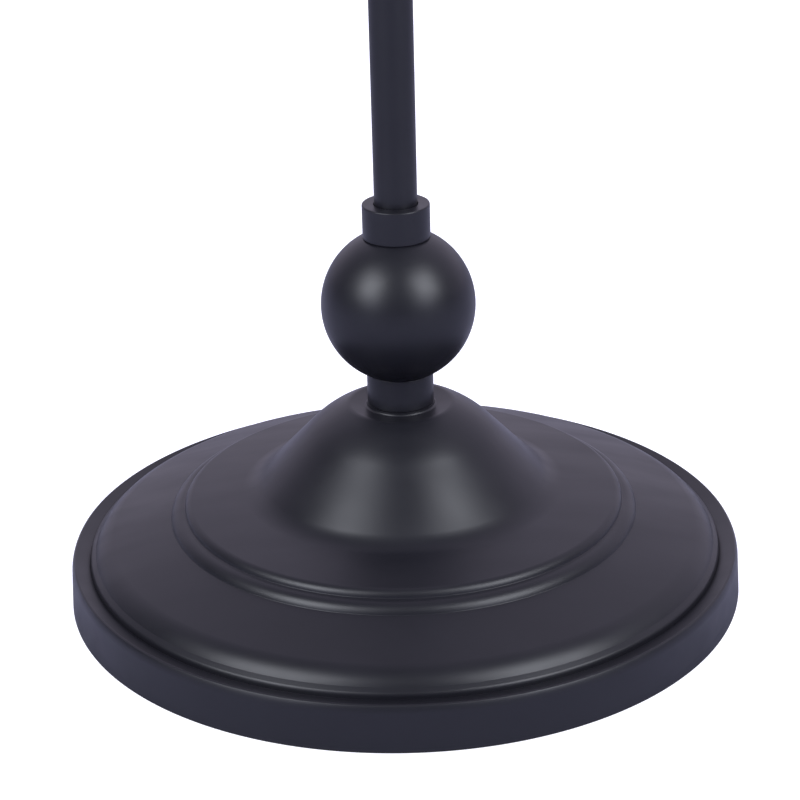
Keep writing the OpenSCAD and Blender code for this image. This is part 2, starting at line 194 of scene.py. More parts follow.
def hexagon(across):
    """Six flats, this far apart."""

    def wave(r, height, turn):
        off = turn % (math.pi / 3) - math.pi / 6
        return min(r, across / 2 / math.cos(off))

    return wave


def thread(radius, depth, pitch):
    """A rounded helical thread on the stretch that has this radius."""

    def wave(r, height, turn):
        if abs(r - radius) > 1e-6:
            return r
        return r - depth / 2 + depth / 2 * math.sin(2 * math.pi * height / pitch - turn)

    return wave


def threaded(radius, start, end, pitch):
    """Outline points close enough together along a thread."""
    count = round((end - start) / pitch * 8)
    return [(radius, start + (end - start) * i / count) for i in range(count + 1)]


# ---- Meshes ----

ALONG = {
    "z": Matrix.Identity(3),
    "x": Matrix(((0, 0, 1), (0, 1, 0), (-1, 0, 0))),
    "-y": Matrix(((1, 0, 0), (0, 0, -1), (0, 1, 0))),
    "y": Matrix(((1, 0, 0), (0, 0, 1), (0, -1, 0))),
}


def spin(outline, along="z", centre=POLE, segments=96, wave=None, inside_from=None):
    """Bmesh of a closed outline (radius, height) spun round an axis.

    A wave(radius, height, turn) gives each point its new radius.
    Faces from outline point inside_from on take the piece's second material.
    """
    bm = bmesh.new()
    rings = []
    for radius, height in outline:
        ring = []
        for j in range(1 if radius < 1e-6 else segments):
            turn = 2 * math.pi * j / segments
            r = wave(radius, height, turn) if wave else radius
            local = Vector((r * math.cos(turn), r * math.sin(turn), height))
            ring.append(bm.verts.new((ALONG[along] @ local + Vector(centre)) * MM))
        rings.append(ring)
    for i, ring in enumerate(rings):
        other = rings[(i + 1) % len(rings)]
        for j in range(segments):
            k = (j + 1) % segments
            near = [ring[j % len(ring)], ring[k % len(ring)]]
            far = [other[k % len(other)], other[j % len(other)]]
            corners = list(dict.fromkeys(near + far))
            if len(corners) > 2:
                face = bm.faces.new(corners)
                face.material_index = int(inside_from is not None and i >= inside_from)
    bmesh.ops.recalc_face_normals(bm, faces=bm.faces)
    return bm


def rod(radius, start, end, along="z", centre=POLE, edge=0.0, segments=64):
    """Bmesh of a solid round bar."""
    outline = [(0, start), (radius, start), (radius, end), (0, end)]
    return spin(soften(outline, edge) if edge else outline, along, centre, segments)


def prism(points, start, end, along="-y", centre=PIVOT):
    """Bmesh of a flat outline pushed out from start to end along an axis."""
    bm = bmesh.new()
    layers = []
    for height in (start, end):
        places = [ALONG[along] @ Vector((*point, height)) + Vector(centre) for point in points]
        layers.append([bm.verts.new(place * MM) for place in places])
    bm.faces.new(layers[0])
    bm.faces.new(layers[1])
    for i in range(len(points)):
        bm.faces.new((layers[0][i - 1], layers[0][i], layers[1][i], layers[1][i - 1]))
    bmesh.ops.recalc_face_normals(bm, faces=bm.faces)
    return bm


def object_from(bm, name):
    """Object of a finished bmesh, which is used up."""
    mesh = bpy.data.meshes.new(name)
    bm.to_mesh(mesh)
    bm.free()
    made = bpy.data.objects.new(name, mesh)
    bpy.context.scene.collection.objects.link(made)
    return made


def smoothed(piece, smooth_below=32):
    """The piece shaded smooth but for its sharp edges."""
    piece.data.shade_smooth()
    piece.data.set_sharp_from_angle(angle=math.radians(smooth_below))
    weighted = piece.modifiers.new("even shading", "WEIGHTED_NORMAL")
    weighted.keep_sharp = True
    return piece


def apply_modifiers(piece):
    """The piece with its modifiers worked into its mesh."""
    graph = bpy.context.evaluated_depsgraph_get()
    mesh = bpy.data.meshes.new_from_object(piece.evaluated_get(graph))
    piece.modifiers.clear()
    piece.data = mesh


def carved(name, body, joined=(), cuts=(), edge=0.0):
    """Object of a bmesh with others joined on and cut away, and its edges rounded."""
    made = object_from(body, name)
    helpers = []
    for shapes, operation in ((joined, "UNION"), (cuts, "DIFFERENCE")):
        for shape in shapes:
            helper = object_from(shape, name + "_helper")
            step = made.modifiers.new(operation, "BOOLEAN")
            step.operation = operation
            step.solver = "EXACT"
            step.object = helper
            helpers.append(helper)
    if edge:
        rounding = made.modifiers.new("rounding", "BEVEL")
        rounding.width = edge * MM
        rounding.segments = 2
        rounding.limit_method = "ANGLE"
        rounding.angle_limit = math.radians(35)
    apply_modifiers(made)
    for helper in helpers:
        bpy.data.objects.remove(helper)
    return smoothed(made)


def turned(name, outline, along="z", centre=POLE, segments=96, wave=None):
    """Object spun from a closed outline."""
    return smoothed(object_from(spin(outline, along, centre, segments, wave), name))


def ring_outline(outer, inner, start, end, edge):
    """Outline of a plain ring with rounded edges."""
    return soften([(inner, start), (outer, start), (outer, end), (inner, end)], edge, closed=True)


# ---- Materials ----


class Finish:
    """A material on the Principled shader, with small helpers for its procedural detail."""

    def __init__(self, name, colour, roughness, metallic=0.0, specular=0.5):
        self.material = bpy.data.materials.new(name)
        self.material.use_nodes = True
        self.tree = self.material.node_tree
        self.shader = self.tree.nodes["Principled BSDF"]
        self.shader.inputs["Base Color"].default_value = (*colour, 1)
        self.shader.inputs["Roughness"].default_value = roughness
        self.shader.inputs["Metallic"].default_value = metallic
        self.shader.inputs["Specular IOR Level"].default_value = specular
        self.place = self.node("ShaderNodeTexCoord").outputs["Object"]

    def node(self, kind, **settings):
        made = self.tree.nodes.new(kind)
        for key, value in settings.items():
            setattr(made, key, value)
        return made

    def link(self, source, target):
        self.tree.links.new(source, target)

    def stretched(self, scale):
        """The object's own coordinates, scaled along each axis."""
        mapping = self.node("ShaderNodeMapping")
        mapping.inputs["Scale"].default_value = scale
        self.link(self.place, mapping.inputs["Vector"])
        return mapping.outputs["Vector"]

    def noise(self, size_mm, detail=3, place=None):
        """Noise from 0 to 1 with features of about this size."""
        made = self.node("ShaderNodeTexNoise")
        made.inputs["Scale"].default_value = 1 / (size_mm * MM)
        made.inputs["Detail"].default_value = detail
        self.link(place or self.place, made.inputs["Vector"])
        return made.outputs["Fac"]

    def spread(self, value, to_low, to_high, from_low=0.3, from_high=0.7):
        """A value from one range brought to another."""
        made = self.node("ShaderNodeMapRange")
        made.inputs["From Min"].default_value = from_low
        made.inputs["From Max"].default_value = from_high
        made.inputs["To Min"].default_value = to_low
        made.inputs["To Max"].default_value = to_high
        self.link(value, made.inputs["Value"])
        return made.outputs["Result"]

    def blend(self, factor, first, second):
        """A colour between two, each a colour or a socket."""
        made = self.node("ShaderNodeMix", data_type="RGBA")
        self.link(factor, made.inputs["Factor"])
        inputs = [s for s in made.inputs if s.type == "RGBA"]
        for socket, colour in zip(inputs, (first, second)):
            if isinstance(colour, tuple):
                socket.default_value = (*colour, 1)
            else:
                self.link(colour, socket)
        return [s for s in made.outputs if s.type == "RGBA"][0]

    def colour(self, source):
        self.link(source, self.shader.inputs["Base Color"])

    def roughness(self, source):
        self.link(source, self.shader.inputs["Roughness"])

    def bump(self, height, depth_mm, over=None):
        """Relief of that depth; over is an earlier relief that this one is added to."""
        made = self.node("ShaderNodeBump")
        made.inputs["Distance"].default_value = depth_mm * MM
        self.link(height, made.inputs["Height"])
        if over:
            self.link(over, made.inputs["Normal"])
        self.link(made.outputs["Normal"], self.shader.inputs["Normal"])
        return made.outputs["Normal"]


def black_paint():
    finish = Finish("satin_black_paint", (0.007, 0.007, 0.010), 0.40, specular=0.32)
    finish.colour(finish.blend(finish.noise(28), (0.0055, 0.0055, 0.0078), (0.0085, 0.0085, 0.012)))
    rubbed = finish.noise(14, 4, finish.stretched((0.25, 1, 1)))
    finish.roughness(finish.spread(rubbed, 0.36, 0.43))
    ripple = finish.bump(finish.noise(2.2, 2), 0.003)
    finish.bump(finish.noise(0.45, 2), 0.001, over=ripple)
    return finish.material


def white_enamel():
    finish = Finish("white_enamel", (0.80, 0.79, 0.76), 0.35)
    finish.colour(finish.blend(finish.noise(30), (0.78, 0.77, 0.73), (0.83, 0.82, 0.79)))
    finish.roughness(finish.spread(finish.noise(6), 0.3, 0.42))
    finish.bump(finish.noise(1.5, 2), 0.01)
    return finish.material


def cast_iron():
    finish = Finish("cast_iron", (0.16, 0.16, 0.17), 0.7, metallic=0.6)
    finish.colour(finish.blend(finish.noise(12, 6), (0.09, 0.09, 0.095), (0.20, 0.19, 0.19)))
    finish.roughness(finish.spread(finish.noise(3), 0.55, 0.85))
    finish.bump(finish.noise(1.2, 6), 0.25)
    return finish.material


def felt():
    finish = Finish("pressed_felt", (0.03, 0.03, 0.035), 0.95, specular=0.2)
    fibres = finish.noise(0.6, 8, finish.stretched((1, 1, 0.4)))
    finish.colour(finish.blend(fibres, (0.015, 0.015, 0.018), (0.055, 0.055, 0.06)))
    finish.roughness(finish.spread(finish.noise(4), 0.9, 1.0))
    finish.bump(fibres, 0.3)
    return finish.material


def rubber():
    finish = Finish("black_rubber", (0.025, 0.025, 0.025), 0.6, specular=0.4)
    finish.colour(finish.blend(finish.noise(5), (0.018, 0.018, 0.018), (0.035, 0.034, 0.033)))
    finish.roughness(finish.spread(finish.noise(2), 0.5, 0.72))
    finish.bump(finish.noise(0.5), 0.02)
    return finish.material


def zinc_steel():
    finish = Finish("zinc_steel", (0.55, 0.56, 0.58), 0.35, metallic=1.0)
    finish.colour(finish.blend(finish.noise(7), (0.48, 0.50, 0.54), (0.62, 0.62, 0.60)))
    finish.roughness(finish.spread(finish.noise(3, 5), 0.25, 0.48))
    finish.bump(finish.noise(0.25, 3), 0.006)
    return finish.material


def brass():
    finish = Finish("turned_brass", (0.72, 0.52, 0.24), 0.3, metallic=1.0)
    finish.colour(finish.blend(finish.noise(6, 5), (0.55, 0.38, 0.16), (0.78, 0.58, 0.28)))
    finish.roughness(finish.spread(finish.noise(2.5, 5), 0.22, 0.42))
    finish.bump(finish.noise(0.2, 3), 0.006)
    return finish.material


def nylon():
    finish = Finish("natural_nylon", (0.78, 0.76, 0.68), 0.5)
    finish.colour(finish.blend(finish.noise(8), (0.72, 0.69, 0.60), (0.82, 0.80, 0.73)))
    finish.roughness(finish.spread(finish.noise(3), 0.42, 0.58))
    finish.bump(finish.noise(0.6), 0.01)
    return finish.material


def fibre():
    finish = Finish("vulcanised_fibre", (0.30, 0.10, 0.06), 0.75)
    strands = finish.noise(1.2, 6, finish.stretched((1, 1, 0.3)))
    finish.colour(finish.blend(strands, (0.22, 0.07, 0.045), (0.38, 0.14, 0.08)))
    finish.roughness(finish.spread(finish.noise(2), 0.65, 0.85))
    finish.bump(strands, 0.05)
    return finish.material


def phenolic():
    finish = Finish("moulded_phenolic", (0.028, 0.022, 0.018), 0.28)
    swirl = finish.noise(25, 2, finish.stretched((0.4, 1, 1)))
    finish.colour(finish.blend(swirl, (0.022, 0.018, 0.015), (0.032, 0.024, 0.019)))
    finish.roughness(finish.spread(finish.noise(8, 2), 0.26, 0.34))
    finish.bump(finish.noise(1.4, 2), 0.002)
    return finish.material


def porcelain():
    finish = Finish("unglazed_porcelain", (0.85, 0.84, 0.80), 0.6)
    finish.colour(finish.blend(finish.noise(5, 5), (0.78, 0.76, 0.71), (0.88, 0.87, 0.83)))
    finish.roughness(finish.spread(finish.noise(2), 0.5, 0.7))
    finish.bump(finish.noise(0.4, 4), 0.03)
    return finish.material


def bulb_metal():
    finish = Finish("rolled_aluminium", (0.75, 0.75, 0.77), 0.32, metallic=1.0)
    finish.colour(finish.blend(finish.noise(4), (0.66, 0.66, 0.68), (0.82, 0.82, 0.83)))
    finish.roughness(finish.spread(finish.noise(1.5, 4), 0.24, 0.42))
    finish.bump(finish.noise(0.3), 0.01)
    return finish.material


def frosted_glass():
    finish = Finish("frosted_glass", (0.93, 0.92, 0.88), 0.45)
    finish.shader.inputs["Subsurface Weight"].default_value = 0.35
    finish.shader.inputs["Subsurface Radius"].default_value = (0.004, 0.004, 0.004)
    finish.shader.inputs["Coat Weight"].default_value = 0.5
    finish.shader.inputs["Coat Roughness"].default_value = 0.2
    finish.colour(finish.blend(finish.noise(14), (0.90, 0.89, 0.85), (0.96, 0.95, 0.92)))
    finish.roughness(finish.spread(finish.noise(0.8, 5), 0.4, 0.56))
    finish.bump(finish.noise(0.35, 4), 0.012)
    return finish.material


MATERIALS = {
    "black_paint": black_paint(),
    "cast_iron": cast_iron(),
    "felt": felt(),
    "rubber": rubber(),
    "zinc_steel": zinc_steel(),
    "brass": brass(),
    "nylon": nylon(),
    "fibre": fibre(),
    "phenolic": phenolic(),
    "porcelain": porcelain(),
    "bulb_metal": bulb_metal(),
    "frosted_glass": frosted_glass(),
}

for node, made in frame["nodes"].items():
    made.data.materials.clear()
    made.data.materials.append(MATERIALS[SLOT[node]])


def stands_for(piece, node, inside=None):
    """The piece rides with this CAD node, takes its finish, and is shown in its place."""
    piece.data.materials.append(MATERIALS[SLOT[node]])
    if inside:
        piece.data.materials.append(inside)
    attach(piece, BODY[node])
    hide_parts(node)
    return piece


def ring_for(node, outer, inner, along="z", centre=POLE, edge=0.4, segments=96):
    """A plain ring or tube in the place of a CAD node."""
    outline = ring_outline(outer, inner, *reach(node, along), edge)
    return stands_for(turned(node + "_turned", outline, along, centre, segments), node)


def nut_for(node, hole, along="z", centre=POLE):
    """A hexagon nut with chamfered corners in the place of a CAD node."""
    start, end = reach(node, along)
    width = min(high(node, axis) - low(node, axis) for axis in "xyz" if axis not in along)
    corner = width / 2 / math.cos(math.pi / 6)
    flat = width / 2 - 0.1
    rise = (corner - flat) * math.tan(math.radians(30))
    outline = [(hole, start), (flat, start), (corner, start + rise)]
    outline += [(corner, end - rise), (flat, end), (hole, end)]
    return stands_for(turned(node + "_cut", outline, along, centre, 96, hexagon(width)), node)


# ---- Base ----


def base_outline():
    """The spun shell from the rim at the floor up to the hole in its crown."""
    edge, edge_r, edge_corner = (base_r - 7.8, 14.6), 7, (base_r - 2.3, 18.4)
    groove_r, groove_z, groove_edge = base_r - 8.1, 16.6, 0.2
    foot, foot_r = (base_r - 10.3, 17.7), 2.2
    shoulder, shoulder_r = (base_r - 20.9, 13.5), 12.7
    lower_bead, lower_bead_r = (85.2, 30.6), 5
    upper_bead, upper_bead_r = (81.1, 35.3), 3.4
    hollow, hollow_r = (64, 55.2), 14
    dome, dome_r = (2.4, crown_z - 43), 46
    knee_turn, knee_r = 66, 4
    knee = polar(dome, dome_r - knee_r, knee_turn)
    boss_r, boss_h = collar_r + 0.2, 0.1
    fillet_r, fillet_h = 0.9, 0.5
    plate_slope, dome_slope, dish_slope = 8, 47, 8
    return (
        [(base_r, rim_z)]
        + arc(edge, edge_r, 3, 30, 10)
        + [edge_corner, (groove_r + groove_edge, groove_z + groove_edge), (groove_r, groove_z)]
        + arc(foot, foot_r, 0, 45, 10)
        + arc(shoulder, shoulder_r, 33, 74, 16)
        + arc(lower_bead, lower_bead_r, 16, 90, 12)
        + arc(upper_bead, upper_bead_r, 8, 90 - plate_slope, 10)
        + arc(hollow, hollow_r, 270 - plate_slope, 270 - dome_slope, 12)
        + arc(dome, dome_r, 90 - dome_slope, knee_turn, 16)
        + arc(knee, knee_r, knee_turn, 90 + dish_slope, 8)
        + arc((boss_r + fillet_r, crown_z - fillet_h), fillet_r, 270 - dish_slope, 180, 6)
        + [(boss_r, crown_z - boss_h), (boss_r, crown_z), (rod_hole, crown_z)]
    )


def base_shell():
    shell_t, gland_r = 1.2, 5.1
    outline = soften(base_outline(), 0.4)
    sheet = spin(outline + inner_side(outline, shell_t), segments=288)
    gland_hole = rod(gland_r, base_r - 12, base_r + 4, "y", (0, 0, middle("cord_gland", "z")))
    return stands_for(carved("base_shell_spun", sheet, cuts=[gland_hole]), "base_shell")


def base_pad():
    edge_r = base_r - 4
    top = high("base_pad", "z")
    outline = soften([(0, 0), (edge_r, 0), (edge_r, top), (0, top)], 0.6)
    return stands_for(turned("base_pad_felt", outline, segments=192), "base_pad")


def cord_gland():
    """Rubber grommet with a lip outside the rim and a barb inside it."""
    hole, lip, waist, barb = 3.4, 6.6, 5.0, 5.6
    lip_end, barb_start, barb_end = 1.6, 4.6, 6
    outline = [(hole, 0), (lip, 0), (lip, lip_end), (waist, lip_end)]
    outline += [(waist, barb_start), (barb, barb_start), (barb, barb_end), (hole, barb_end)]
    place = (0, high("cord_gland", "y"), middle("cord_gland", "z"))
    piece = turned("cord_gland_moulded", soften(outline, 0.5, closed=True), "-y", place)
    return stands_for(piece, "cord_gland")


# ---- Stem and pole ----


def ball():
    flat = high("ball", "z") - ball_z
    edge = math.acos(collar_r / ball_r)
    rise = flat / math.sin(edge)
    steps = 64
    turns = [edge * (2 * i / steps - 1) for i in range(steps + 1)]
    side = [(ball_r * math.cos(t), rise * math.sin(t)) for t in turns]
    outline = [(rod_hole, -flat)] + side + [(rod_hole, flat)]
    return stands_for(turned("ball_turned", outline, centre=(0, 0, ball_z), segments=144), "ball")


def pole_collar():
    bottom, top = reach("pole_collar", "z")
    seat = low("lower_pole", "z")
    outline = [(rod_hole, bottom), (collar_r, bottom), (collar_r, top)]
    outline += [(pole_r + gap, top), (pole_r + gap, seat), (rod_hole, seat)]
    outline = soften(outline, 0.6, closed=True)
    return stands_for(turned("pole_collar_turned", outline, segments=128), "pole_collar")


def pole_coupler():
    """The threaded insert between the two poles, which shows as a fine bright line."""
    bottom, top = reach("pole_coupler", "z")
    seam_low, seam_high = high("lower_pole", "z"), low("middle_pole", "z")
    inside, line_r, bore = pole_r - 1.25, pole_r - 0.35, 3.4
    outline = [(bore, bottom), (inside, bottom), (inside, seam_low), (line_r, seam_low)]
    outline += [(line_r, seam_high), (inside, seam_high), (inside, top), (bore, top)]
    outline = soften(outline, 0.2, closed=True)
    return stands_for(turned("pole_coupler_turned", outline), "pole_coupler")


def clamp_collar():
    """Sleeve on the top of the pole, with the boss that the clamp screw runs in."""
    bottom, top = reach("clamp_collar", "z")
    seat = low("collar_bush", "z")
    outline = [(pole_r + gap, bottom), (collar_r, bottom), (collar_r, top)]
    outline += [(bush_r + gap, top), (bush_r + gap, seat), (pole_r + gap, seat)]
    sleeve = spin(soften(outline, 0.8, closed=True), segments=96)
    boss_r, boss_end = 6, -low("clamp_collar", "y")
    boss = rod(boss_r, pole_r + 1, boss_end, "-y", CLAMP, edge=0.7)
    hole = rod(screw_r + gap, 0, boss_end + 1, "-y", CLAMP)
    piece = carved("clamp_collar_bored", sleeve, joined=[boss], cuts=[hole], edge=0.25)
    return stands_for(piece, "clamp_collar")


def collar_bush():
    bottom, top = reach("collar_bush", "z")
    flange_z = high("clamp_collar", "z")
    flange_r, bore = pole_r + 1.8, tube_r + 0.07
    outline = [(bore, bottom), (bush_r, bottom), (bush_r, flange_z)]
    outline += [(flange_r, flange_z), (flange_r, top), (bore, top)]
    outline = soften(outline, 0.4, closed=True)
    return stands_for(turned("collar_bush_moulded", outline), "collar_bush")


# ---- Screws and knobs ----


def fluted_knob(node, radius, bore, depth, along="-y", centre=PIVOT, count=12):
    """Moulded knob on a narrow foot, with flutes down its side and a shallow dish in its face."""
    start, end = reach(node, along)
    height = end - start
    foot_r, foot_h = radius * 0.62, height * 0.12
    skirt_h, skirt_in, skirt_rise = height * 0.2, 0.6, 1.2
    round_r = 2
    dish_edge, dish_foot, dish_d = radius * 0.66, radius * 0.52, 0.6
    outline = [(0, depth), (bore, depth), (bore, 0), (foot_r, 0), (foot_r, foot_h)]
    outline += [(radius - skirt_in, skirt_h), (radius, skirt_h + skirt_rise)]
    outline += arc((radius - round_r, height - round_r), round_r, 0, 90, 8)
    outline += [(dish_edge, height), (dish_foot, height - dish_d), (0, height - dish_d)]
    outline = [(r, start + h) for r, h in soften(outline, 0.6)]
    piece = turned(node + "_fluted", outline, along, centre, count * 20, flutes(radius, count))
    return stands_for(piece, node)


def clamp_screw():
    start, end = reach("clamp_screw", "-y")
    pitch, depth, chamfer = 1, 0.5, 0.5
    tip_r = screw_r - chamfer
    outline = [(0, start), (tip_r, start)]
    outline += threaded(screw_r, start + chamfer, end - chamfer, pitch)
    outline += [(tip_r, end), (0, end)]
    piece = turned("clamp_screw_threaded", outline, "-y", CLAMP, 48, thread(screw_r, depth, pitch))
    return stands_for(piece, "clamp_screw")


def pivot_bolt():
    """Domed bolt head with a screwdriver slot behind, its shaft running forward into the knob."""
    end, top = low("pivot_bolt", "y"), high("pivot_bolt", "y")
    bolt_head_r, head_h, dome_h = 7, 4.8, 3.2
    face = top - head_h
    dome_r = (bolt_head_r**2 + dome_h**2) / (2 * dome_h)
    dome_turn = math.degrees(math.acos(bolt_head_r / dome_r))
    outline = [(0, end), (screw_r, end), (screw_r, face), (bolt_head_r, face)]
    outline += arc((0, top - dome_r), dome_r, dome_turn, 90, 12)
    body = spin(soften(outline, 0.4), "y", PIVOT)
    slot_d, half, far = 1.6, 0.8, 2 * bolt_head_r
    across = [(-far, -half), (far, -half), (far, half), (-far, half)]
    slot = prism(across, slot_d - top, -top - 2)
    return stands_for(carved("pivot_bolt_slotted", body, cuts=[slot], edge=0.15), "pivot_bolt")


# ---- Turning head ----


def slot_outline(half):
    """The wedge that the arm's tongue sweeps between its lowest and its highest tilt."""
    down, up = 45, 60
    far = 2 * head_r
    lower = Vector((math.cos(math.radians(down)), -math.sin(math.radians(down))))
    upper = Vector((math.cos(math.radians(up)), math.sin(math.radians(up))))
    below = Vector((lower.y, -lower.x)) * half
    above = Vector((-upper.y, upper.x)) * half
    corners = [below, below + lower * far, Vector((1.5 * far, 0)), above + upper * far, above]
    return [tuple(corner) for corner in corners]


def swivel_head():
    """Slotted ball on a round skirt, flat where the knob and the bolt head bear on it."""
    cheek, face, bore_end = 5.5, 14.5, 1251
    screw_at = middle("swivel_set_screw", "z")
    bottom, bore_top = low("swivel_head", "z") - head_z, bore_end - head_z
    meet = math.degrees(math.acos(skirt_r / head_r))
    bore_r = axle_r + gap
    outline = [(0, bore_top), (bore_r, bore_top), (bore_r, bottom), (skirt_r, bottom)]
    outline += arc((0, 0), head_r, -meet, 90, 40)
    body = spin(soften(outline, 0.6, sharpest=20), "z", PIVOT, 128)
    far = 2 * head_r
    disc = rod(tongue_r + 0.4, -cheek, cheek, "-y", PIVOT)
    wedge = prism(slot_outline(cheek - 0.1), -cheek, cheek)
    square = [(-far, -far), (far, -far), (far, far), (-far, far)]
    flats = [prism(square, face, far), prism(square, -far, -face)]
    bolt_hole = rod(screw_r + gap, -far, far, "-y", PIVOT)
    screw_hole = rod(grub_r + gap, -far, 0, "x", (0, 0, screw_at), segments=48)
    cuts = [disc, wedge, *flats, bolt_hole, screw_hole]
    return stands_for(carved("swivel_head_slotted", body, cuts=cuts, edge=0.35), "swivel_head")


# ---- Arm ----


def arm_knuckle():
    """Tongue that tilts in the head's slot, and the barrel that grips the arm tube."""
    tongue, barrel_r, mouth = 4.9, 9.5, 2.5
    start, end = 24.6, high("arm_knuckle", "x")
    tongue_disc = rod(tongue_r, -tongue, tongue, "-y", PIVOT, edge=0.5, segments=128)
    web = rod(tongue - gap, tongue_r - 5, start + 8, "x", PIVOT)
    outline = [(0, start), (barrel_r - mouth, start), (barrel_r, start + mouth)]
    outline += [(barrel_r, end), (0, end)]
    barrel = spin(soften(outline, 0.9), "x", PIVOT)
    tube_x = low("arm_tube", "x")
    wire_x, wire_r = 6.5, 2.5
    grub = (41, 0, 0)
    cuts = [
        rod(screw_r + gap, -tongue - 1, tongue + 1, "-y", PIVOT),
        rod(tube_r + gap, tube_x, end + 1, "x", PIVOT),
        rod(wire_r, wire_x, tube_x + 1, "x", PIVOT),
        rod(wire_r, head_z - tongue_r - 1, head_z, "z", (wire_x, 0, 0)),
        rod(grub_r + gap, head_z - barrel_r - 1, head_z - 2, "z", grub),
    ]
    piece = carved("arm_knuckle_cast", tongue_disc, joined=[web, barrel], cuts=cuts, edge=0.3)
    return stands_for(piece, "arm_knuckle")


def arm_end_collar():
    start, end = reach("arm_end_collar", "x")
    outer, spigot, bore = 9.8, 8.5, tube_r + gap
    step, grub_x = start + 6, start + 3
    outline = [(bore, start), (outer, start), (outer, step)]
    outline += [(spigot, step), (spigot, end), (bore, end)]
    body = spin(soften(outline, 0.8, closed=True), "x", PIVOT)
    grub_hole = rod(grub_r + gap, head_z - outer - 1, head_z, "z", (grub_x, 0, 0), segments=48)
    return stands_for(carved("arm_end_collar_turned", body, cuts=[grub_hole]), "arm_end_collar")


def arm_end_ball():
    """Hollow ball that covers the joint on which the shade rolls."""
    radius, face_r, bore, hole = 14, 9.6, 8.55, 5
    start, end = reach("arm_end_ball", "x")
    centre = arm_reach - 18
    inside = centre + 4
    opening = math.degrees(math.asin(face_r / radius))
    outline = [(bore, start), (face_r, start)]
    outline += arc((0, centre), radius, opening - 90, 90 - opening, 32)
    outline += [(face_r, end), (hole, end), (hole, inside), (bore, inside)]
    outline = soften(outline, 0.4, closed=True, sharpest=20)
    return stands_for(turned("arm_end_ball_turned", outline, "x", PIVOT), "arm_end_ball")


# ---- Shade ----

sheet_t = 1


def shade_outline():
    """The shade's outer side, from the tip of its round nose to the hole in its back."""
    back_r = 20
    return (
        arc((0, shade_len - shade_r), shade_r, 90, 0, 48)
        + arc((shade_r - back_r, back_r + 2), back_r, 0, -84, 24)
        + [(rim_drop, 0), (rod_hole, 0)]
    )


def shade():
    """Half-round trough of sheet metal, black outside and white inside."""
    outer = shade_outline()
    outline = [(r, arm_reach + h) for r, h in outer + inner_side(outer, -sheet_t)]
    sheet = spin(outline, "x", PIVOT, 192, inside_from=len(outer))
    plane = Vector((0, 0, head_z - rim_drop)) * MM
    parts = [*sheet.verts, *sheet.edges, *sheet.faces]
    bmesh.ops.bisect_plane(sheet, geom=parts, plane_co=plane, plane_no=(0, 0, 1), clear_inner=True)
    bmesh.ops.bridge_loops(sheet, edges=[edge for edge in sheet.edges if edge.is_boundary])
    bmesh.ops.recalc_face_normals(sheet, faces=sheet.faces)
    return stands_for(smoothed(object_from(sheet, "shade_spun")), "shade", inside=white_enamel())


def swept(name, path, radius):
    """Closed round wire along a path."""
    curve = bpy.data.curves.new(name, "CURVE")
    curve.dimensions = "3D"
    curve.bevel_depth = radius * MM
    curve.bevel_resolution = 5
    spline = curve.splines.new("POLY")
    spline.points.add(len(path) - 1)
    for point, place in zip(spline.points, path):
        point.co = (*(Vector(place) * MM), 1)
    spline.use_cyclic_u = True
    helper = bpy.data.objects.new(name, curve)
    bpy.context.scene.collection.objects.link(helper)
    graph = bpy.context.evaluated_depsgraph_get()
    mesh = bpy.data.meshes.new_from_object(helper.evaluated_get(graph))
    bpy.data.objects.remove(helper)
    made = bpy.data.objects.new(name, mesh)
    bpy.context.scene.collection.objects.link(made)
    return smoothed(made)


def shade_rolled_edge():
    """The sheet's edge rolled over a wire, all round the opening."""
    line = inner_side(shade_outline(), -sheet_t / 2)[::-1]
    half = []
    for (r_before, h_before), (r, h) in zip(line, line[1:]):
        if (r_before - rim_drop) * (r - rim_drop) < 0:
            t = (rim_drop - r_before) / (r - r_before)
            half.append((0, h_before + t * (h - h_before)))
        if r > rim_drop:
            half.append((math.sqrt(r**2 - rim_drop**2), h))
    sides = half + [(-y, h) for y, h in half[-2:0:-1]]
    path = [(arm_reach + h, y, head_z - rim_drop) for y, h in sides]
    wire_r = 0.95
    piece = swept("shade_rolled_edge", path, wire_r)
    piece.data.materials.append(MATERIALS["black_paint"])
    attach(piece, BODY["shade"])


# ---- Socket, bulb and switch ----


def socket_shell():
    """Moulded sleeve with grip rings near its mouth."""
    start, end = reach("socket_shell", "x")
    radius, wall, neck_r = 17.5, 1.6, 12
    floor_t, inside = 3, radius - wall
    rings, spacing, first, ring_r = 4, 3.5, end - 18, radius + 0.6
    outline = [(nipple_hole, start), (neck_r, start), (radius, start + 5)]
    for ring in range(rings):
        foot = first + ring * spacing
        outline += [(radius, foot), (ring_r, foot + 0.7)]
        outline += [(ring_r, foot + 1.5), (radius, foot + 2.2)]
    outline += [(radius, end), (inside, end), (inside, start + 7)]
    outline += [(neck_r, start + floor_t), (nipple_hole, start + floor_t)]
    outline = soften(outline, 0.5, closed=True)
    return stands_for(turned("socket_shell_moulded", outline, "x", PIVOT, 128), "socket_shell")


def bulb_cap():
    """Rolled screw thread and the narrow end round the contact."""
    start, end = reach("bulb_cap", "x")
    radius, depth, pitch = 13.3, 0.8, 3.6
    hole, nose_r, inside = 5, 8, 11.6
    outline = [(hole, start), (nose_r, start), (11.8, start + 3)]
    outline += threaded(radius, start + 3.4, end - 1, pitch)
    outline += [(12.4, end), (inside, end), (inside, start + 4), (hole, start + 1)]
    piece = turned("bulb_cap_rolled", outline, "x", PIVOT, 96, thread(radius, depth, pitch))
    return stands_for(piece, "bulb_cap")


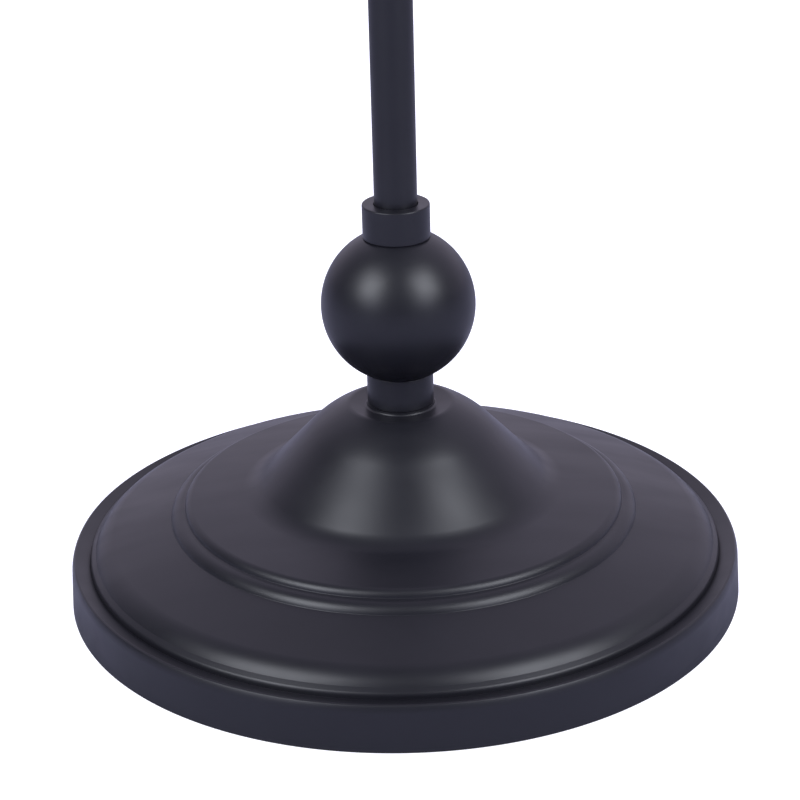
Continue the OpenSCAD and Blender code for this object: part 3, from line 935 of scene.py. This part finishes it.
def bulb_glass():
    """Tubular envelope that narrows into the cap and ends in a round dome."""
    start, end = reach("bulb_glass", "x")
    radius, neck_r, wall = high("bulb_glass", "y"), 11.6, 0.8
    bend_r = 8
    outer = [(neck_r, start), (neck_r, start + 6)]
    outer += arc((radius - bend_r, start + 15), bend_r, -30, 0, 10)
    outer += arc((0, end - radius), radius, 0, 90, 32)
    outer = soften(outer, 3)
    outline = outer + inner_side(outer, wall)
    return stands_for(turned("bulb_glass_blown", outline, "x", PIVOT, 128), "bulb_glass")


def switch_bushing():
    """Threaded neck that holds the switch in the shade's wall."""
    start, end = reach("switch_bushing", "z")
    pitch, depth, shoulder_r, bore = 0.75, 0.35, 6, 2.1
    shoulder = start + 7
    outline = [(bore, start), (shoulder_r, start), (shoulder_r, shoulder)]
    outline += threaded(bushing_r, shoulder, end - 0.4, pitch)
    outline += [(bushing_r - 0.5, end), (bore, end)]
    wave = thread(bushing_r, depth, pitch)
    piece = turned("switch_bushing_threaded", outline, "z", SWITCH, 64, wave)
    return stands_for(piece, "switch_bushing")


base_shell()
base_pad()
cord_gland()
ring_for("neck_spacer", collar_r, rod_hole, edge=0.4, segments=128)
ball()
pole_collar()
ring_for("lower_pole", pole_r, pole_r - pole_wall)
pole_coupler()
ring_for("middle_pole", pole_r, pole_r - pole_wall)
clamp_collar()
collar_bush()
clamp_screw()
fluted_knob("clamp_knob", 10, screw_r + gap, 7.5, centre=CLAMP)
ring_for("upper_tube", tube_r, tube_r - tube_wall)
ring_for("swivel_base", skirt_r, tube_r + gap, edge=0.8)
ring_for("swivel_washer", skirt_r - 0.5, axle_r + 2 * gap, edge=0.2)
swivel_head()
pivot_bolt()
ring_for("tilt_washer", 8, screw_r + 2 * gap, "-y", PIVOT, edge=0.3)
fluted_knob("tilt_knob", 11, screw_r + gap, 11)
arm_knuckle()
ring_for("arm_tube", tube_r, tube_r - tube_wall, "x", PIVOT)
arm_end_collar()
arm_end_ball()
shade()
shade_rolled_edge()
socket_shell()
bulb_cap()
bulb_glass()
switch_bushing()
fluted_knob("switch_knob", 7, stem_r + gap, 7.5, "z", SWITCH, count=10)
for node, hole, along, centre in (
    ("rod_nut", rod_hole, "z", POLE),
    ("nipple_nut", nipple_hole, "x", PIVOT),
    ("shade_locknut", nipple_hole, "x", PIVOT),
    ("switch_nut", bushing_r + gap, "z", SWITCH),
):
    nut_for(node, hole, along, centre)
ring_for("roll_washer", 9.4, nipple_hole, "x", PIVOT, edge=0.2)

# ---- Studio ----


def camera():
    """The low, close view of the base, with a long lens."""
    data = bpy.data.cameras.new("camera")
    data.sensor_width = 36
    data.lens = 102.7
    made = bpy.data.objects.new("camera", data)
    position, look_down, lean = Vector((-0.3, -798, 421.5)), 23.42, -1.5
    place = Matrix.Translation(position * MM)
    pitch = Matrix.Rotation(math.radians(90 - look_down), 4, "X")
    roll = Matrix.Rotation(math.radians(lean), 4, "Z")
    made.matrix_world = place @ pitch @ roll
    bpy.context.scene.collection.objects.link(made)
    bpy.context.scene.camera = made


def softbox(name, azimuth, elevation, width, height, radiance, colour):
    """Soft light that looks at the ball, placed by its angles from the front and the floor."""
    distance = 3
    data = bpy.data.lights.new(name, "AREA")
    data.shape = "RECTANGLE"
    data.size, data.size_y = width, height
    data.energy = radiance * math.pi * width * height
    data.color = colour
    made = bpy.data.objects.new(name, data)
    turn, rise = math.radians(azimuth), math.radians(elevation)
    level = math.cos(rise)
    away = Vector((math.sin(turn) * level, -math.cos(turn) * level, math.sin(rise)))
    made.location = Vector((0, 0, ball_z * MM)) + away * distance
    made.rotation_euler = away.to_track_quat("Z", "Y").to_euler()
    made.visible_camera = False
    bpy.context.scene.collection.objects.link(made)


def studio_world():
    """A room that is bright and faintly lavender behind the lamp and dark in front of it.

    Seen directly it is plain white.
    """
    world = bpy.data.worlds.new("studio")
    bpy.context.scene.world = world
    world.use_nodes = True
    tree = world.node_tree
    tree.nodes.clear()
    room = tree.nodes.new("ShaderNodeBackground")
    room.inputs["Color"].default_value = (0.95, 0.88, 1.12, 1)
    direction = tree.nodes.new("ShaderNodeTexCoord")
    towards = tree.nodes.new("ShaderNodeVectorMath")
    towards.operation = "DOT_PRODUCT"
    towards.inputs[1].default_value = (0.2, 0.95, 0.2)
    tree.links.new(direction.outputs["Generated"], towards.inputs[0])
    strength = tree.nodes.new("ShaderNodeMapRange")
    strength.interpolation_type = "SMOOTHSTEP"
    strength.inputs["From Min"].default_value = 0.0
    strength.inputs["From Max"].default_value = 0.8
    strength.inputs["To Min"].default_value = 0.03
    strength.inputs["To Max"].default_value = 0.95
    tree.links.new(towards.outputs["Value"], strength.inputs["Value"])
    tree.links.new(strength.outputs["Result"], room.inputs["Strength"])
    seen = tree.nodes.new("ShaderNodeBackground")
    seen.inputs["Color"].default_value = (1, 1, 1, 1)
    path = tree.nodes.new("ShaderNodeLightPath")
    mix = tree.nodes.new("ShaderNodeMixShader")
    tree.links.new(path.outputs["Is Camera Ray"], mix.inputs["Fac"])
    tree.links.new(room.outputs["Background"], mix.inputs[1])
    tree.links.new(seen.outputs["Background"], mix.inputs[2])
    output = tree.nodes.new("ShaderNodeOutputWorld")
    tree.links.new(mix.outputs["Shader"], output.inputs["Surface"])


def floor():
    """Pale floor, lifted to plain white where it is seen directly."""
    bm = bmesh.new()
    bmesh.ops.create_grid(bm, x_segments=8, y_segments=8, size=30)
    made = object_from(bm, "floor")
    finish = Finish("pale_floor", (0.43, 0.43, 0.56), 0.8, specular=0.2)
    finish.colour(finish.blend(finish.noise(400), (0.42, 0.42, 0.55), (0.44, 0.44, 0.57)))
    finish.shader.inputs["Emission Color"].default_value = (0.9, 0.9, 0.9, 1)
    direct = finish.node("ShaderNodeLightPath").outputs["Is Camera Ray"]
    finish.link(direct, finish.shader.inputs["Emission Strength"])
    made.data.materials.append(finish.material)


camera()
floor()
studio_world()
for side in (-1, 1):
    softbox(
        "softbox",
        azimuth=side * 52,
        elevation=38,
        width=1.6,
        height=1.7,
        radiance=11.3,
        colour=(0.95, 0.98, 1.06),
    )
    softbox(
        "low_fill",
        azimuth=side * 42,
        elevation=17,
        width=1.3,
        height=0.9,
        radiance=2,
        colour=(0.88, 0.9, 1.15),
    )

view = bpy.context.scene.view_settings
view.view_transform = "Standard"
view.look = "None"
